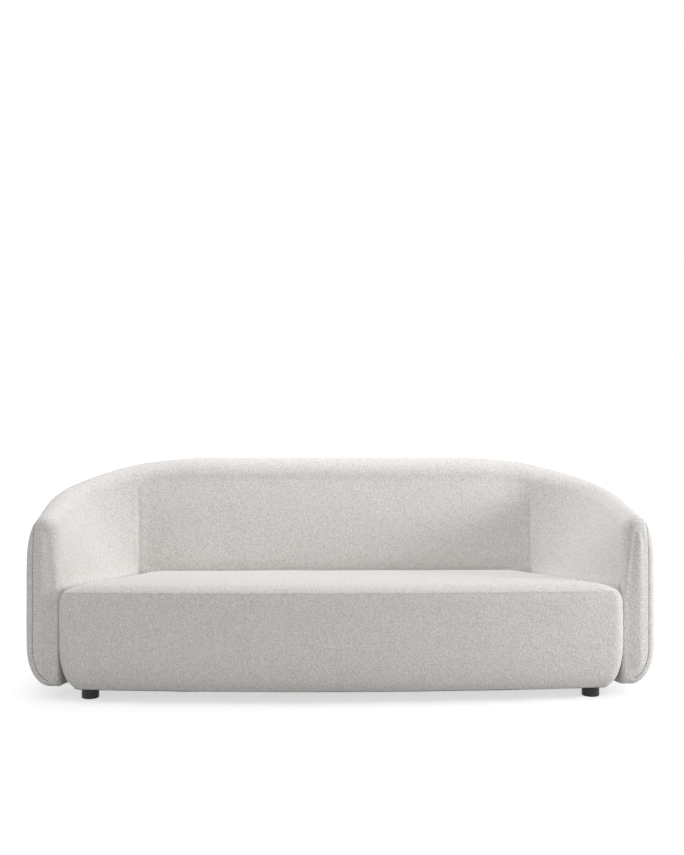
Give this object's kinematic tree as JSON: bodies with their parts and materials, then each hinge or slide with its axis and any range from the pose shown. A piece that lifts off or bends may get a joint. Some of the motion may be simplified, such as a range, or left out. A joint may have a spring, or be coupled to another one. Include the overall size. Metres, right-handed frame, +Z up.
{
  "type": "sofa",
  "caption": "Low wrap-round sofa: thick back sloping into rounded arms, one bowed bench seat block, pale boucle cover, short black round feet.",
  "frame": {"origin": "centre of the footprint on the floor", "axes": "+X to the right seen from the front, -Y is the front, +Z up"},
  "size_m": [2.212, 0.96, 0.785],
  "materials": {
    "boucle": "off-white looped boucle upholstery fabric",
    "foam": "cut polyurethane foam",
    "felt": "grey needled insulator felt",
    "plywood": "unfinished birch plywood",
    "beech": "unfinished planed beech",
    "webbing": "woven elastic webbing",
    "spring_steel": "oiled spring steel wire",
    "zinc_steel": "zinc plated steel",
    "dust_cloth": "black spunbonded dust cloth",
    "black_foot": "satin black moulded plastic"
  },
  "bodies": {
    "sofa": {"inside_back_cover": "boucle", "inside_arm_cover_left": "boucle", "inside_arm_cover_right": "boucle", "outside_back_cover": "boucle", "outside_arm_cover_left": "boucle", "outside_arm_cover_right": "boucle", "seat_cover": "boucle", "back_foam": "foam", "arm_foam_left": "foam", "arm_foam_right": "foam", "seat_foam_core": "foam", "seat_border_foam": "foam", "seat_insulator_felt": "felt", "back_rib_1": "plywood", "back_rib_2": "plywood", "back_rib_3": "plywood", "back_rib_4": "plywood", "back_rib_5": "plywood", "corner_rib_left": "plywood", "corner_rib_right": "plywood", "arm_rear_rib_left": "plywood", "arm_rear_rib_right": "plywood", "arm_front_rib_left": "plywood", "arm_front_rib_right": "plywood", "foot_plates": "plywood", "arm_liner_left": "plywood", "arm_liner_right": "plywood", "back_top_rail": "beech", "back_seat_rail": "beech", "back_bottom_rail": "beech", "arm_top_rail_left": "beech", "arm_top_rail_right": "beech", "arm_bottom_rail_left": "beech", "arm_bottom_rail_right": "beech", "seat_front_rail": "beech", "seat_back_rail": "beech", "seat_side_rail_left": "beech", "seat_side_rail_right": "beech", "seat_cross_rail_left": "beech", "seat_cross_rail_middle": "beech", "seat_cross_rail_right": "beech", "seat_corner_blocks": "beech", "back_webbing": "webbing", "seat_springs": "spring_steel", "spring_clips": "spring_steel", "joining_plates": "zinc_steel", "joining_screws": "zinc_steel", "tee_nuts": "zinc_steel", "seat_dust_cover": "dust_cloth", "shell_dust_cover": "dust_cloth"},
    "stud_front_left": {"foot_stud_front_left": "zinc_steel"},
    "foot_front_left": {"foot_front_left": "black_foot"},
    "stud_front_right": {"foot_stud_front_right": "zinc_steel"},
    "foot_front_right": {"foot_front_right": "black_foot"},
    "stud_rear_left": {"foot_stud_rear_left": "zinc_steel"},
    "foot_rear_left": {"foot_rear_left": "black_foot"},
    "stud_rear_right": {"foot_stud_rear_right": "zinc_steel"},
    "foot_rear_right": {"foot_rear_right": "black_foot"}
  },
  "joints": [
    {"name": "front_left_unscrew", "type": "slide", "parent": "sofa", "child": "stud_front_left", "axis": [0, 0, -1], "range_m": [0, 0.008]},
    {"name": "front_left_turn", "type": "hinge", "parent": "stud_front_left", "child": "foot_front_left", "pos_m": [-0.864, -0.331, 0.02], "axis": [0, 0, -1], "range_deg": [0, 2304]},
    {"name": "front_right_unscrew", "type": "slide", "parent": "sofa", "child": "stud_front_right", "axis": [0, 0, -1], "range_m": [0, 0.008]},
    {"name": "front_right_turn", "type": "hinge", "parent": "stud_front_right", "child": "foot_front_right", "pos_m": [0.864, -0.331, 0.02], "axis": [0, 0, -1], "range_deg": [0, 2304]},
    {"name": "rear_left_unscrew", "type": "slide", "parent": "sofa", "child": "stud_rear_left", "axis": [0, 0, -1], "range_m": [0, 0.008]},
    {"name": "rear_left_turn", "type": "hinge", "parent": "stud_rear_left", "child": "foot_rear_left", "pos_m": [-0.733, 0.316, 0.02], "axis": [0, 0, -1], "range_deg": [0, 2304]},
    {"name": "rear_right_unscrew", "type": "slide", "parent": "sofa", "child": "stud_rear_right", "axis": [0, 0, -1], "range_m": [0, 0.008]},
    {"name": "rear_right_turn", "type": "hinge", "parent": "stud_rear_right", "child": "foot_rear_right", "pos_m": [0.733, 0.316, 0.02], "axis": [0, 0, -1], "range_deg": [0, 2304]}
  ],
  "couplings": [
    {"joint": "front_left_unscrew", "follows": "front_left_turn", "m_per_rad": 0.00019894},
    {"joint": "front_right_unscrew", "follows": "front_right_turn", "m_per_rad": 0.00019894},
    {"joint": "rear_left_unscrew", "follows": "rear_left_turn", "m_per_rad": 0.00019894},
    {"joint": "rear_right_unscrew", "follows": "rear_right_turn", "m_per_rad": 0.00019894}
  ]
}
